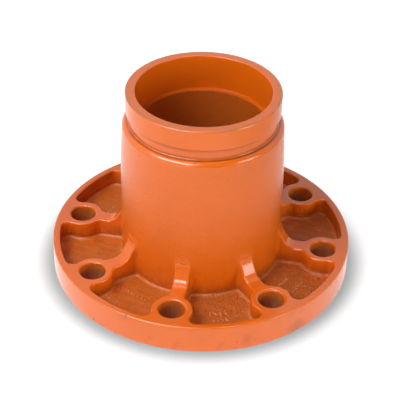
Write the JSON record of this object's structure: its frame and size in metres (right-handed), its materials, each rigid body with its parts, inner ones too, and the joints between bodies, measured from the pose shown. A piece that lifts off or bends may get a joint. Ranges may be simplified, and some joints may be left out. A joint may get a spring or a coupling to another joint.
{
  "type": "grooved flange adapter",
  "caption": "Cast grooved-end to bolted-flange pipe adapter with ribbed bolt bosses, painted orange.",
  "frame": {"origin": "centre of the flange's mating face, on the pipe axis", "axes": "+Z along the pipe axis from the flange to the grooved end; +X points between two bolt holes, so the holes straddle both horizontal axes"},
  "size_m": [0.2286, 0.2286, 0.1486],
  "materials": {
    "enamelled_iron": "glossy orange enamel over ductile iron"
  },
  "bodies": {
    "root": {"flange_adapter": "enamelled_iron"}
  },
  "joints": []
}
